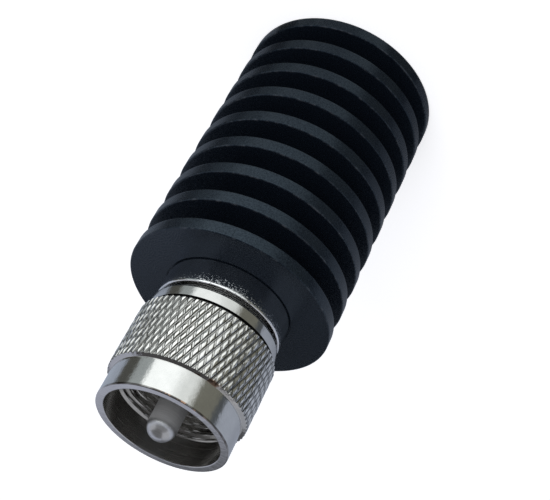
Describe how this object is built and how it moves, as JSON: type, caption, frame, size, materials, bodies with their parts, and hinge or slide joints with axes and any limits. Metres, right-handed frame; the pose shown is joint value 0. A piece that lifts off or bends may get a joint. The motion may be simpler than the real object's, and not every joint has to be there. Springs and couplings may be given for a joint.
{
  "type": "rf dummy load",
  "caption": "Coaxial dummy load: a round finned heat sink on a screw-on plug with a captive knurled coupling nut and a centre pin, which absorbs radio power in place of an antenna.",
  "frame": {"origin": "centre of the heat sink's flat rear face, on which the load stands", "axes": "+Z along the axis from the rear face to the plug's mouth, +X through the open split of the snap ring"},
  "size_m": [0.029, 0.029, 0.0654],
  "materials": {
    "black_anodised": "bead-blasted and black anodised",
    "nickel_plate": "bright nickel plate",
    "ptfe": "turned",
    "spring_bronze": "drawn and bent",
    "ceramic_film": "resistive film on ceramic",
    "tinned_cap": "tin plate"
  },
  "bodies": {
    "load": {"heat_sink": "black_anodised", "plug_body": "nickel_plate", "snap_ring": "spring_bronze", "centre_pin": "nickel_plate", "insulator": "ptfe", "resistor_rod": "ceramic_film", "front_cap": "tinned_cap", "rear_cap": "tinned_cap"},
    "nut": {"coupling_nut": "nickel_plate"}
  },
  "joints": [
    {"name": "nut_spin", "type": "hinge", "parent": "load", "child": "nut", "pos_m": [0, 0, 0.05], "axis": [0, 0, 1], "continuous": true}
  ]
}
